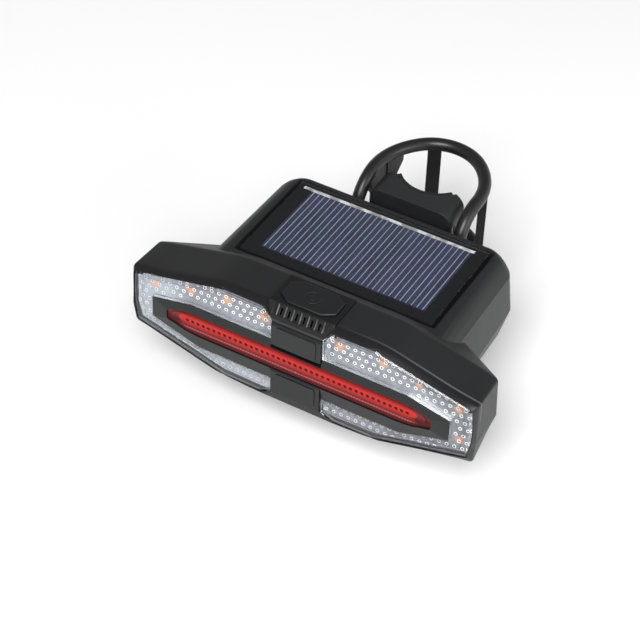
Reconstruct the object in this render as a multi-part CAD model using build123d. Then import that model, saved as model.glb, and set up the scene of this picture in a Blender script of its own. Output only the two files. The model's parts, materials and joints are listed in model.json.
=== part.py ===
"""Rear bicycle light with turn signals, solar top and a seat-post strap mount.

Millimetres, +Z up, the front with the lenses faces -Y.  Everything is laid out
in a working frame whose origin is the centre of the red line on the front, and
is moved at the end so that the origin lies on the seat post's axis, at the
saddle's mid height.
"""
from build123d import *
import math
import os

os.makedirs("parts", exist_ok=True)

# ----------------------------------------------------------------- dimensions
HALF_W = 65.0            # half of the total width
PART_Z = -3.5            # parting plane of the two housing shells
LENS_Y = 0.6             # front plane of the clear lenses
RIM_Y = 2.6              # where the bevel round the lenses ends
BAR_REAR_Y = 17.5        # rear top edge of the bar
WING_Y = 34.0            # rear end of the shoulders
WALL = 2.0
BOX_TOP = 16.6
BOX_BOTTOM = -15.5
BOX_REAR = 70.0
PITCH = 2.085            # pitch of the 41 red emitters
RED_COUNT = 41

PANEL_X, PANEL_Y0, PANEL_Y1 = 36.4, 23.7, 65.6
CELL_X, CELL_Y0, CELL_Y1 = 31.07, 28.9, 63.1
GROOVE_X, GROOVE_Y0, GROOVE_Y1 = 38.1, 22.8, 66.7

BUTTON_TRAVEL = 0.7
BAND_X = 9.4

SEAT_R = 12.7            # 25.4 mm seat post
SEAT_Y = 96.8
SEAT_Z = -1.5
SADDLE_TOP, SADDLE_BOTTOM = 16.0, -19.0
PAD_T = 1.6
PAD_HALF_ANGLE = 51.0

STRAP_X = 20.0           # half width of the strap's loop, to its centre line
STRAP_Y = 88.3           # where the loop is widest
STRAP_FRONT = 74.8       # centre line at the hook posts' side
STRAP_SIDE_R = 26.0      # the loop's two side arcs
REAR_C = 94.9            # centre of its rear arc, which meets the side arcs without a kink
STRAP_REAR_R = STRAP_SIDE_R - math.hypot(STRAP_SIDE_R - STRAP_X, REAR_C - STRAP_Y)
STRAP_D = 4.7
STRAP_HALF_H = 17.5
RUNG_ANGLES = (-27.0, 66.0)
RUNG_W, RUNG_T = 4.9, 3.0
POST_Y, POST_R = 79.5, 2.0

BATTERY_R, BATTERY_L, BATTERY_Y, BATTERY_Z = 9.1, 65.2, 52.0, -1.6
SCREWS = ((38.4, 27.5), (-38.4, 27.5), (38.4, 63.0), (-38.4, 63.0))

SHIFT = Location((0.0, -SEAT_Y, -SEAT_Z))


# -------------------------------------------------------------------- helpers
def both(points):
    """Closed symmetric outline from the right-hand half."""
    return list(points) + [(-x, z) for x, z in reversed(points)]


def face_y(points, y):
    return Face(Wire.make_polygon([Vector(x, y, z) for x, z in points], close=True))


def face_z(points, z):
    return Face(Wire.make_polygon([Vector(x, y, z) for x, y in points], close=True))


def face_x(points, x):
    return Face(Wire.make_polygon([Vector(x, y, z) for y, z in points], close=True))


def prism_y(points, y0, y1):
    return extrude(face_y(points, y0), amount=y1 - y0, dir=(0, 1, 0))


def prism_z(points, z0, z1):
    return extrude(face_z(points, z0), amount=z1 - z0, dir=(0, 0, 1))


def prism_x(points, x0, x1):
    return extrude(face_x(points, x0), amount=x1 - x0, dir=(1, 0, 0))


def skin_y(*sections):
    """Straight-sided body through (points, y) sections."""
    body = None
    for (p0, y0), (p1, y1) in zip(sections, sections[1:]):
        piece = loft([face_y(p0, y0), face_y(p1, y1)], ruled=True)
        body = piece if body is None else body + piece
    return body


def round_half(points, reach, n=4):
    """Eases the corners of a half outline; reach is how far back each corner's curve starts."""
    out = []
    last = len(points) - 1
    for i, p in enumerate(points):
        if reach[i] <= 0:
            out.append(p)
            continue
        a = points[i - 1] if i else (-p[0], p[1])
        b = points[i + 1] if i < last else (-p[0], p[1])
        la, lb = math.hypot(a[0] - p[0], a[1] - p[1]), math.hypot(b[0] - p[0], b[1] - p[1])
        t = min(reach[i], 0.45 * la, 0.45 * lb)
        a = (p[0] + (a[0] - p[0]) / la * t, p[1] + (a[1] - p[1]) / la * t)
        b = (p[0] + (b[0] - p[0]) / lb * t, p[1] + (b[1] - p[1]) / lb * t)
        for k in range(n + 1):
            s = k / n
            w = ((1 - s) ** 2, 2 * s * (1 - s), s * s)
            out.append((w[0] * a[0] + w[1] * p[0] + w[2] * b[0], w[0] * a[1] + w[1] * p[1] + w[2] * b[1]))
    return out


def blend(p, q, t):
    return [(a[0] + (b[0] - a[0]) * t, a[1] + (b[1] - a[1]) * t) for a, b in zip(p, q)]


def eased(sections, reach, n=3):
    """Adds sections that round the ridge at each inner section."""
    out = [sections[0]]
    for i in range(1, len(sections) - 1):
        (p0, y0), (p1, y1), (p2, y2) = sections[i - 1:i + 2]
        d = reach[i - 1]
        if d <= 0:
            out.append(sections[i])
            continue
        ta, tb = d / abs(y1 - y0), d / abs(y2 - y1)
        a, ya, b, yb = blend(p1, p0, ta), y1 + (y0 - y1) * ta, blend(p1, p2, tb), y1 + (y2 - y1) * tb
        for k in range(n + 1):
            s = k / n
            w = ((1 - s) ** 2, 2 * s * (1 - s), s * s)
            pts = [(w[0] * u[0] + w[1] * v[0] + w[2] * t[0], w[0] * u[1] + w[1] * v[1] + w[2] * t[1]) for u, v, t in zip(a, p1, b)]
            out.append((pts, w[0] * ya + w[1] * y1 + w[2] * yb))
    out.append(sections[-1])
    return out


def hull_y(sections, corner, reach):
    """Outer skin of a shell half: rounded outlines and eased ridges."""
    secs = eased([(round_half(p, corner), y) for p, y in sections], reach)
    wires = [Wire.make_polygon([Vector(x, y, z) for x, z in both(p)], close=True) for p, y in secs]
    return Part() + Solid.make_loft(wires, ruled=True)


def skin_z(*sections):
    body = None
    for (p0, z0), (p1, z1) in zip(sections, sections[1:]):
        piece = loft([face_z(p0, z0), face_z(p1, z1)], ruled=True)
        body = piece if body is None else body + piece
    return body


def bx(x0, x1, y0, y1, z0, z1):
    return Pos((x0 + x1) / 2, (y0 + y1) / 2, (z0 + z1) / 2) * Box(abs(x1 - x0), abs(y1 - y0), abs(z1 - z0))


def cyl_z(x, y, z0, z1, r):
    return Pos(x, y, (z0 + z1) / 2) * Cylinder(r, z1 - z0)


def cyl_y(x, z, y0, y1, r):
    return Pos(x, (y0 + y1) / 2, z) * Rot(90, 0, 0) * Cylinder(r, y1 - y0)


def cyl_x(y, z, x0, x1, r):
    return Pos((x0 + x1) / 2, y, z) * Rot(0, 90, 0) * Cylinder(r, x1 - x0)


def rounded(points, r, n=5):
    """Rounds a closed outline's corners into short chords; r is a number or one per point."""
    out = []
    m = len(points)
    for i, p in enumerate(points):
        rr = r[i] if isinstance(r, (list, tuple)) else r
        a, b = points[i - 1], points[(i + 1) % m]
        if rr <= 0:
            out.append(p)
            continue
        ux, uy = a[0] - p[0], a[1] - p[1]
        vx, vy = b[0] - p[0], b[1] - p[1]
        lu, lv = math.hypot(ux, uy), math.hypot(vx, vy)
        ux, uy, vx, vy = ux / lu, uy / lu, vx / lv, vy / lv
        half = math.acos(max(-1, min(1, ux * vx + uy * vy))) / 2
        t = min(rr / math.tan(half), 0.48 * lu, 0.48 * lv)
        rr = t * math.tan(half)
        bx_, by_ = ux + vx, uy + vy
        lb = math.hypot(bx_, by_)
        d = rr / math.sin(half)
        cx, cy = p[0] + bx_ / lb * d, p[1] + by_ / lb * d
        a0 = math.atan2(p[1] + uy * t - cy, p[0] + ux * t - cx)
        a1 = math.atan2(p[1] + vy * t - cy, p[0] + vx * t - cx)
        while a1 - a0 > math.pi:
            a1 -= 2 * math.pi
        while a1 - a0 < -math.pi:
            a1 += 2 * math.pi
        for k in range(n + 1):
            a_ = a0 + (a1 - a0) * k / n
            out.append((cx + rr * math.cos(a_), cy + rr * math.sin(a_)))
    return out


def inset(points, d):
    """Moves a closed outline's sides inwards by d (outwards when negative)."""
    m = len(points)
    area = sum(points[i][0] * points[(i + 1) % m][1] - points[(i + 1) % m][0] * points[i][1] for i in range(m))
    s = 1.0 if area > 0 else -1.0
    lines = []
    for i in range(m):
        (x0, y0), (x1, y1) = points[i], points[(i + 1) % m]
        dx, dy = x1 - x0, y1 - y0
        length = math.hypot(dx, dy)
        nx, ny = -dy / length * s, dx / length * s
        lines.append((x0 + nx * d, y0 + ny * d, dx / length, dy / length))
    out = []
    for i in range(m):
        x0, y0, dx0, dy0 = lines[i - 1]
        x1, y1, dx1, dy1 = lines[i]
        det = dx0 * dy1 - dy0 * dx1
        if abs(det) < 1e-4:
            out.append((x1, y1))
            continue
        t = ((x1 - x0) * dy1 - (y1 - y0) * dx1) / det
        out.append((x0 + dx0 * t, y0 + dy0 * t))
    return out


def soften(part, edges, radii):
    """Fillets edges with the first radius that they take."""
    for r in radii:
        try:
            done = fillet(edges, r)
            if done.is_valid and done.volume > 0.8 * part.volume:
                return done
        except Exception:
            pass
    print("  edges left sharp:", len(edges))
    return part


NODES = {}


def keep(name, shape):
    NODES[name] = shape


# ---------------------------------------------------- outlines seen from ahead
# right-hand halves, (x, z), from the top centre outwards
LENS_TOP = [(28.4, 19.4), (45.2, 15.43), (54.2, 13.3), (61.6, 11.53), (62.7, 11.15), (63.45, 10.3)]
LENS_END = [(63.95, 4.0), (64.1, 0.0), (63.9, -3.5)]
LENS_LOW = [(63.0, -9.6), (62.3, -10.3), (57.7, -11.5), (51.7, -13.1), (44.0, -15.2), (37.6, -16.95), (29.8, -19.2), (28.6, -19.55), (14.0, -19.8)]
LENS_IN_LOW = [(9.5, -17.25)]
LENS_IN_TOP = [(9.5, 15.0), (13.4, 19.15)]
LENS_RIGHT = LENS_TOP + LENS_END + LENS_LOW + LENS_IN_LOW + LENS_IN_TOP
OPENING = both([(9.5, 15.0), (13.4, 19.15)] + LENS_TOP + LENS_END + LENS_LOW + LENS_IN_LOW)

UP_L = [(28.4, 19.55), (45.2, 15.6), (54.2, 13.45), (61.5, 11.72), (63.6, 10.6), (64.2, PART_Z)]
UP_0 = [(30.5, 20.1), (45.1, 16.3), (54.1, 13.9), (61.3, 12.6), (64.8, 12.1), (65.0, PART_Z)]
UP_1 = [(30.2, 20.4), (45.1, 16.7), (54.1, 14.45), (61.0, 12.7), (64.3, 11.7), (65.0, PART_Z)]
UP_M = [(30.2, 15.2), (42.5, 12.7), (46.0, 11.8), (49.5, 10.9), (52.3, 10.1), (57.8, PART_Z)]
UP_2 = [(30.2, 10.5), (32.5, 10.2), (35.0, 9.6), (37.3, 9.0), (39.5, 8.4), (50.2, PART_Z)]
IN_0 = [(30.0, 18.1), (44.6, 14.4), (53.6, 12.1), (60.6, 10.5), (62.7, 9.8), (62.9, PART_Z - 0.1)]
IN_1 = [(29.8, 18.4), (44.4, 14.8), (53.5, 12.5), (60.3, 10.8), (62.2, 9.9), (62.8, PART_Z - 0.1)]
IN_2 = [(29.8, 4.0), (38.4, 1.9), (43.0, 0.4), (45.4, -1.0), (46.6, -1.9), (47.9, PART_Z - 0.1)]

UP_CORNER = [5.0, 3.0, 3.0, 1.6, 0.8, 0.0]
LO_CORNER = [0.0, 1.2, 3.0, 3.0, 4.0, 0.0]

LO_L = [(64.2, PART_Z), (63.1, -9.75), (57.8, -11.65), (44.1, -15.35), (29.6, -19.4), (13.6, -20.0)]
LO_0 = [(65.0, PART_Z), (64.6, -13.0), (57.7, -14.2), (44.0, -17.3), (30.0, -20.6), (13.6, -20.8)]
LO_1 = [(65.0, PART_Z), (63.0, -9.5), (57.0, -12.0), (44.0, -15.5), (30.0, -18.8), (13.6, -19.0)]
LO_2 = [(50.2, PART_Z), (48.0, -8.0), (46.0, -11.0), (40.0, -14.0), (30.0, -15.5), (13.6, -15.5)]
LI_0 = [(62.9, PART_Z + 0.1), (61.6, -9.2), (57.0, -10.4), (43.5, -14.0), (29.0, -17.9), (13.6, -18.3)]
LI_1 = [(62.8, PART_Z + 0.1), (61.0, -8.2), (56.0, -10.2), (43.5, -13.5), (29.5, -16.7), (13.6, -17.0)]
LI_2 = [(47.9, PART_Z + 0.1), (45.9, -7.0), (44.2, -9.5), (39.0, -12.2), (29.5, -13.5), (13.6, -13.5)]


def box_plan(front, rear, y1, r=7.0):
    pts = [(front, 19.0), (rear, y1), (-rear, y1), (-front, 19.0)]
    return rounded(pts, [0, r, r, 0], 8)


# side, rear width, rear end, corner radius and height of the box's outline on its way up
SHOULDER = [(48.6, 46.3, BOX_REAR, 7.0, PART_Z), (46.1, 44.95, 69.6, 7.0, 11.2), (44.5, 43.35, 69.3, 6.4, 13.6),
            (43.0, 41.9, 69.0, 6.0, 15.15), (41.4, 40.4, 68.6, 5.4, 16.15), (39.8, 38.9, 68.1, 4.8, BOX_TOP)]


# ------------------------------------------------------------ button and block
BLOCK_PROFILE = [(17.4, 20.75), (4.0, 20.75), (3.45, 20.45), (1.3, 17.6), (0.75, 16.6), (0.3, 15.9), (0.3, 14.75), (3.0, 14.75), (3.2, 15.6), (17.4, 15.6)]
BLOCK_FRONT = both([(12.2, 24.0), (12.2, 19.3), (8.9, 14.5)])
PAD_PLAN = [(6.2, 4.7), (10.2, 7.3), (10.2, 13.4), (6.2, 16.0), (-6.2, 16.0), (-10.2, 13.4), (-10.2, 7.3), (-6.2, 4.7)]


def block_body(grow):
    prof = inset(BLOCK_PROFILE, -grow) if grow else BLOCK_PROFILE
    front = inset(BLOCK_FRONT, -grow) if grow else BLOCK_FRONT
    return prism_x(prof, -13.5, 13.5) & prism_y(front, -2.0, 20.0)


# --------------------------------------------------------------- upper housing
def build_upper_housing():
    bar = hull_y([(UP_L, LENS_Y), (UP_0, RIM_Y), (UP_1, BAR_REAR_Y), (UP_M, 25.5), (UP_2, WING_Y)], UP_CORNER, (0.7, 0.8, 2.0))
    box = skin_z(*[(box_plan(f, r, y, c), z) for f, r, y, c, z in SHOULDER])
    body = bar + box
    # hollow inside
    body -= skin_y((both(IN_0), 3.1), (both(IN_1), 16.0), (both(IN_2), 32.5))
    body -= skin_z((box_plan(46.5, 44.2, BOX_REAR - 2.2, 5.0), PART_Z - 0.1), (box_plan(43.4, 42.0, BOX_REAR - 2.6, 5.0), 11.9))
    # lens opening and its ledge
    body -= prism_y(inset(OPENING, -0.1), -1.0, 3.1)
    # solar pocket
    body -= prism_z(rounded([(GROOVE_X, GROOVE_Y0), (GROOVE_X, GROOVE_Y1), (-GROOVE_X, GROOVE_Y1), (-GROOVE_X, GROOVE_Y0)], 0.8, 3), 13.6, 22.0)
    # two holes for the panel's leads
    for x in (-20.0, -17.0):
        body -= cyl_z(x, 26.0, 10.0, 15.0, 0.9)
    # screw bosses
    for x, y in SCREWS:
        body += cyl_z(x, y, PART_Z + 0.05, 12.2, 3.1)
        body -= cyl_z(x, y, PART_Z - 0.5, 7.0, 1.1)
    # seat of the button block
    body -= block_body(0.1)
    body -= prism_y(inset(BLOCK_FRONT, -0.1), 0.0, 3.3) & bx(-20, 20, 0.0, 3.3, 14.7, 24.0)
    body &= bx(-80, 80, -5, 80, PART_Z, 40)
    # cable notch for the bracket's screws
    for x in (-6.0, 6.0):
        body -= cyl_y(x, 5.0, 60.0, 75.0, 1.45)
    return body


# --------------------------------------------------------------- lower housing
def build_lower_housing():
    bar = hull_y([(LO_L, LENS_Y), (LO_0, RIM_Y), (LO_1, BAR_REAR_Y), (LO_2, WING_Y)], LO_CORNER, (0.7, 1.5))
    box = skin_z((box_plan(44.8, 43.4, BOX_REAR - 1.2), BOX_BOTTOM), (box_plan(48.6, 46.3, BOX_REAR), PART_Z))
    low = box.faces().sort_by(Axis.Z)[0]
    rim = [e for e in low.edges() if e.center().Y > 22]
    box = soften(box, rim, (2.0, 1.5, 1.0))
    body = bar + box
    body -= skin_y((both(LI_0), 3.1), (both(LI_1), 16.0), (both(LI_2), 32.5))
    body -= skin_z((box_plan(42.8, 41.4, BOX_REAR - 3.2, 5.0), BOX_BOTTOM + 2.0), (box_plan(46.5, 44.2, BOX_REAR - 2.2, 5.0), PART_Z + 0.1))
    body -= prism_y(inset(OPENING, -0.1), -1.0, 3.1)
    for x, y in SCREWS:
        body += cyl_z(x, y, BOX_BOTTOM + 0.2, PART_Z, 3.4)
        body -= cyl_z(x, y, BOX_BOTTOM - 1, PART_Z + 1, 1.5)
        body -= cyl_z(x, y, BOX_BOTTOM - 1, BOX_BOTTOM + 3.0, 2.8)
    # charging port: recess for the flap, and the slot
    body -= bx(USB_X - 9.2, USB_X + 7.7, USB_Y - 4.7, USB_Y + 4.7, BOX_BOTTOM - 7, BOX_BOTTOM + 1.2)
    body -= bx(USB_X - 4.7, USB_X + 4.7, USB_Y - 1.9, USB_Y + 1.9, BOX_BOTTOM - 1, BOX_BOTTOM + 3.0)
    # groove for the seal
    body -= gasket_ring(0.75, 1.75, PART_Z - 0.9, PART_Z + 0.1)
    # V line of the parting
    body -= parting_notch()
    body &= bx(-80, 80, -5, 80, -40, PART_Z)
    for x in (-6.0, 6.0):
        body -= cyl_y(x, -8.5, 60.0, 75.0, 1.45)
    return body


SEAL_PLAN = [(65.0, -9.0), (65.0, 17.5), (50.2, 34.0), (47.92, 34.0), (46.3, 70.0)]


def gasket_ring(d0, d1, z0, z1):
    plan = both(SEAL_PLAN)
    corner = [0, 0, 0, 0, 7.0, 7.0, 0, 0, 0, 0]
    outer = rounded(inset(plan, d0), [max(0, r - d0) for r in corner], 8)
    inner = rounded(inset(plan, d1), [max(0, r - d1) for r in corner], 8)
    ring = prism_z(outer, z0, z1) - prism_z(inner, z0 - 1, z1 + 1)
    # open at the front, where the lenses are
    return ring & bx(-80, 80, 6.0, 80, z0 - 1, z1 + 1)


def parting_notch():
    plan = both(SEAL_PLAN)
    core = rounded(inset(plan, 0.3), [0, 0, 0, 0, 6.8, 6.8, 0, 0, 0, 0], 8)
    return prism_z(inset(plan, -3.0), PART_Z - 0.3, PART_Z + 0.2) - prism_z(core, PART_Z - 1, PART_Z + 1)


USB_X, USB_Y = -26.0, 32.0

keep("upper_housing", build_upper_housing())
keep("lower_housing", build_lower_housing())
keep("housing_gasket", gasket_ring(0.85, 1.65, PART_Z - 0.9, PART_Z))

screws = []
for x, y in SCREWS:
    head = cyl_z(x, y, BOX_BOTTOM + 1.2, BOX_BOTTOM + 3.0, 2.5)
    head -= bx(x - 1.6, x + 1.6, y - 0.35, y + 0.35, BOX_BOTTOM, BOX_BOTTOM + 2.1)
    head -= bx(x - 0.35, x + 0.35, y - 1.6, y + 1.6, BOX_BOTTOM, BOX_BOTTOM + 2.1)
    screws.append(head + cyl_z(x, y, BOX_BOTTOM + 2.9, 4.5, 1.25))
keep("housing_screws", Compound([s.solid() for s in screws]))

# ------------------------------------------------------------------ front trim
FRAME_OUT = both([(41.0, 6.4), (56.2, 3.05), (56.3, -5.4), (38.0, -11.15)])
FRAME_RIDGE = both([(41.0, 3.45), (50.35, 0.9), (50.35, -3.55), (38.0, -6.05)])
RED_OUT = both([(39.0, 3.1), (44.5, 2.75), (48.0, 1.6), (49.6, 0.75), (50.0, 0.2), (50.0, -2.8), (49.6, -3.3), (46.4, -4.15), (43.0, -5.3), (37.0, -5.75)])


def build_lens_right():
    out = LENS_RIGHT
    front = inset(out, 0.85)
    body = loft([face_y(front, LENS_Y), face_y(out, LENS_Y + 0.8)], ruled=True)
    body += prism_y(out, LENS_Y + 0.8, 3.0)
    # the inner end is flush, so the bevel is filled there
    body += prism_y([(9.5, 15.0), (9.5, -17.25), (11.0, -18.15), (11.0, 16.6)], LENS_Y, 3.0) & prism_y(out, 0, 4)
    # locating skirt inside the housing's walls
    plan = [(28.4, 19.4), (62.9, 11.3), (63.9, 0.0), (62.4, -10.2), (28.6, -19.5), (14.0, -19.8), (9.5, -17.25), (9.5, 15.0), (13.4, 19.15)]
    body += prism_y(inset(plan, 2.4), 2.9, 5.2) - prism_y(inset(plan, 3.4), 2.5, 5.4)
    body -= prism_y(inset(FRAME_OUT, -0.1), -1.0, 8.0)
    return body


lens_right = build_lens_right()
keep("lens_right", lens_right)
keep("lens_left", mirror(lens_right, about=Plane.YZ))


def build_inner_frame():
    body = loft([face_y(FRAME_RIDGE, -0.2), face_y(FRAME_OUT, LENS_Y)], ruled=True)
    body += prism_y(FRAME_OUT, LENS_Y, 6.0)
    body -= prism_y(inset(RED_OUT, -0.12), -1.0, 2.05)
    body -= prism_y(both([(46.5, 2.6), (46.5, -2.8)]), 2.0, 6.5)
    # room for the two band plates
    body -= bx(-9.5, 9.5, -2, 3.05, 3.35, 8.0)
    body -= bx(-9.5, 9.5, -2, 3.05, -13.0, -5.95)
    return body


keep("inner_frame", build_inner_frame())


def build_red_lens():
    body = prism_y(RED_OUT, 0.3, 2.0)
    # bright upper zone stands proud, the lower zone slopes back under it
    body += prism_y(both([(39.0, 2.55), (43.6, 2.3), (47.2, 1.2), (48.2, 0.3), (48.2, -1.2), (46.6, -2.2), (43.4, -2.9)]), -0.3, 0.4)
    low = both([(43.4, -2.9), (42.4, -4.9), (37.0, -5.3)])
    body += prism_y(low, 0.0, 0.4)
    return body


keep("red_lens", build_red_lens())

up_band = prism_x([(-0.3, 5.2), (-0.3, 13.6), (0.15, 14.35), (0.6, 14.55), (2.95, 14.55), (2.95, 3.45), (1.2, 3.45), (0.75, 3.9)], -9.3, 9.3)
plate = prism_y(rounded(both([(7.5, 13.3), (7.5, 5.35)]), 1.0, 4), -0.6, 0.5)
keep("centre_band_upper", up_band + plate)
lo_band = prism_x([(-0.3, -6.6), (0.1, -6.1), (2.95, -6.1), (2.95, -17.15), (0.7, -17.15), (0.2, -16.9), (-0.3, -16.2)], -9.3, 9.3)
plate = prism_y(rounded(both([(7.5, -7.4), (7.5, -15.6)]), 1.0, 4), -0.6, 0.5)
keep("centre_band_lower", lo_band + plate)


# ----------------------------------------------------------------- top control
def build_button_block():
    body = block_body(0.0)
    # hollow under the roof
    body -= bx(-11.3, 11.3, 3.95, 16.6, 10.0, 18.5)
    body -= prism_x([(2.2, 15.5), (2.6, 17.2), (4.2, 18.5), (4.2, 14.0), (2.2, 14.0)], -9.6, 9.6)
    # the button's hole
    body -= prism_z(inset(PAD_PLAN, -0.25), 15.0, 25.0)
    # sunk field with the ribs on the sloping front
    sunk = prism_x([(3.3, 20.9), (2.0, 20.6), (0.0, 17.9), (1.15, 17.0), (1.75, 17.35), (3.6, 19.85)], -10.2, 10.2)
    ribs = None
    for k in range(7):
        x = (k - 3) * 2.83
        rib = bx(x - 0.3, x + 0.3, -1, 6, 15, 22)
        ribs = rib if ribs is None else ribs + rib
    body -= sunk - ribs
    # the ribs stand a little proud of the field round them
    body += ribs & block_body(0.28) & prism_x([(3.05, 20.6), (1.1, 17.7), (-1.0, 17.7), (-1.0, 20.6)], -10.2, 10.2) - prism_x([(5.0, 20.3), (2.2, 20.3), (0.9, 17.5), (5.0, 17.5)], -10.2, 10.2)
    # sound slots between the ribs
    for k in range(6):
        x = (k - 2.5) * 2.83
        body -= prism_x([(0.2, 18.4), (1.6, 20.3), (5.2, 17.6), (3.9, 15.8)], x - 0.36, x + 0.36)
    edges = []
    for e in body.edges():
        c, b = e.center(), e.bounding_box()
        if b.size.Z > 3.5 and abs(c.X) > 9.5 and c.Y < 3.0 and b.size.X > 2.0:
            edges.append(e)
    if edges:
        body = soften(body, edges, (1.3, 0.9, 0.6, 0.4))
    return body


keep("button_block", build_button_block())

PAD_TOP = 21.45
pad = prism_z(PAD_PLAN, 17.4, PAD_TOP)
top_edges = pad.faces().sort_by(Axis.Z)[-1].edges()
pad = soften(pad, top_edges, (0.45, 0.3))
# retaining tabs under the roof
pad += bx(-11.1, -9.4, 8.2, 12.6, 17.4, 18.35) + bx(9.4, 11.1, 8.2, 12.6, 17.4, 18.35)
pad += cyl_z(0, 10.4, 15.25, 17.5, 2.0)
# ring mark and the short bar in it, raised a little
ring = cyl_z(0, 10.4, PAD_TOP - 0.2, PAD_TOP + 0.12, 2.95) - cyl_z(0, 10.4, PAD_TOP - 1, PAD_TOP + 1, 2.5)
pad += ring
pad += bx(-0.16, 0.16, 10.3, 11.5, PAD_TOP - 0.2, PAD_TOP + 0.1)
arc = cyl_z(0, 10.3, PAD_TOP - 0.2, PAD_TOP + 0.1, 1.15) - cyl_z(0, 10.3, PAD_TOP - 1, PAD_TOP + 1, 0.85) - bx(-0.5, 0.5, 10.6, 12, PAD_TOP - 1, PAD_TOP + 1)
pad += arc
keep("power_button", pad)

keep("button_seal", bx(-11.2, 11.2, 4.1, 16.5, 15.7, 16.3) - cyl_z(0, 10.4, 10, 20, 2.6))
keep("switch_board", bx(-11.2, 11.2, 4.5, 16.0, 10.4, 11.4))
body = bx(-3.0, 3.0, 7.4, 13.4, 11.4, 14.4) - cyl_z(0, 10.4, 12.6, 16.0, 1.65)
keep("switch_body", body)
keep("switch_plunger", cyl_z(0, 10.4, 13.4, 15.2, 1.6))

# --------------------------------------------------------------- light sources
AMBER = [(14.0, 9.6), (29.0, 10.8), (43.0, 8.4), (57.6, 5.2), (56.9, -7.9), (43.0, -11.6), (29.0, -14.0), (14.0, -14.2)]


def in_reflector(points, d):
    return inset(points, d)


def build_reflector_right():
    field = inset(LENS_RIGHT, 3.6)
    body = prism_y(field, 6.2, 6.9)
    body += prism_y(field, 5.4, 6.3) - prism_y(inset(field, 0.7), 5.0, 7.0)
    body -= prism_y(inset(FRAME_OUT, -0.5), 0.0, 10.0)
    for x, z in AMBER:
        body -= bx(x - 2.2, x + 2.2, 4, 8, z - 1.9, z + 1.9)
    return body


refl = build_reflector_right()
keep("reflector_right", refl)
keep("reflector_left", mirror(refl, about=Plane.YZ))

board = prism_y(both([(13.0, 14.0), (30.0, 15.0), (52.0, 9.8), (60.5, 7.6), (60.8, -7.8), (52.0, -10.2), (29.0, -15.6), (13.0, -16.0)]), 8.3, 9.9)
board -= bx(-12.8, 12.8, 0, 20, 9.6, 30)
keep("main_board", board)

leds = []
for s in (1, -1):
    for x, z in AMBER:
        leds.append(bx(s * x - 1.75, s * x + 1.75, 6.7, 8.3, z - 1.4, z + 1.4))
keep("amber_leds", Compound([b.solid() for b in leds]))

keep("red_led_board", bx(-45.5, 45.5, 4.6, 5.6, -2.4, 2.2))
leds = []
for k in range(RED_COUNT):
    x = (k - (RED_COUNT - 1) / 2) * PITCH
    leds.append(bx(x - 0.7, x + 0.7, 3.6, 4.6, -0.6, 0.6))
keep("red_leds", Compound([b.solid() for b in leds]))
keep("light_bar_holder", bx(-48.0, 48.0, 6.05, 7.6, -4.2, 4.2) - bx(-44.0, 44.0, 6.0, 8.0, -2.0, 1.8))

# ------------------------------------------------------------------ solar panel
keep("solar_backsheet", bx(-PANEL_X, PANEL_X, PANEL_Y0, PANEL_Y1, 13.6, 15.5))
keep("solar_cell", bx(-CELL_X, CELL_X, CELL_Y0, CELL_Y1, 15.5, 15.8))
fingers = []
for k in range(30):
    x = (k - 14.5) * 2.08
    fingers.append(bx(x - 0.12, x + 0.12, CELL_Y0 + 0.5, CELL_Y1 - 0.1, 15.8, 15.86))
keep("cell_fingers", Compound([b.solid() for b in fingers]))
keep("solar_busbar", bx(-34.6, 31.8, CELL_Y1, CELL_Y1 + 1.25, 15.5, 15.95))
glass = bx(-PANEL_X, PANEL_X, PANEL_Y0, PANEL_Y1, 16.0, BOX_TOP + 0.3)
glass = soften(glass, glass.faces().sort_by(Axis.Z)[-1].edges(), (0.3,))
keep("solar_glass", glass)
film = bx(-PANEL_X, PANEL_X, PANEL_Y0, PANEL_Y1, 15.5, 16.0) - bx(-CELL_X - 0.1, CELL_X + 0.1, CELL_Y0 - 0.1, CELL_Y1 + 0.1, 15.0, 17.0)
film -= bx(-34.7, 31.9, CELL_Y1 - 0.2, CELL_Y1 + 1.35, 15.0, 17.0)
keep("panel_spacer", film)
keep("solar_wires", Compound([cyl_z(x, 26.0, -7.0, 13.6, 0.6).solid() for x in (-20.0, -17.0)]))

# ------------------------------------------------------------- battery and rest
keep("battery", cyl_x(BATTERY_Y, BATTERY_Z, -BATTERY_L / 2, BATTERY_L / 2, BATTERY_R))
cradle = None
for x in (-24.0, 24.0):
    c = bx(x - 3.0, x + 3.0, BATTERY_Y - 11.0, BATTERY_Y + 11.0, BOX_BOTTOM + 2.0, -3.0) - cyl_x(BATTERY_Y, BATTERY_Z, -50, 50, BATTERY_R + 0.02)
    cradle = c if cradle is None else cradle + c
cradle += bx(-24.0, 24.0, BATTERY_Y - 3.0, BATTERY_Y + 3.0, BOX_BOTTOM + 2.0, BOX_BOTTOM + 2.75)
keep("battery_holder", cradle)
keep("charge_board", bx(-33.0, 4.0, 23.0, 39.5, -8.4, -7.0))
port = bx(USB_X - 4.5, USB_X + 4.5, USB_Y - 1.65, USB_Y + 1.65, BOX_BOTTOM + 1.4, -8.4)
port -= bx(USB_X - 4.0, USB_X + 4.0, USB_Y - 1.2, USB_Y + 1.2, BOX_BOTTOM, -9.4)
port += bx(USB_X - 3.2, USB_X + 3.2, USB_Y - 0.35, USB_Y + 0.35, BOX_BOTTOM + 2.4, -9.0)
keep("usb_socket", port)
flap = bx(USB_X - 8.45, USB_X + 7.5, USB_Y - 4.5, USB_Y + 4.5, BOX_BOTTOM, BOX_BOTTOM + 1.1)
flap += cyl_y(USB_X - 8.45, BOX_BOTTOM + 0.55, USB_Y - 4.5, USB_Y + 4.5, 0.55)
flap += bx(USB_X - 3.5, USB_X + 3.5, USB_Y - 0.9, USB_Y + 0.9, BOX_BOTTOM + 1.0, BOX_BOTTOM + 1.35)
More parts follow.
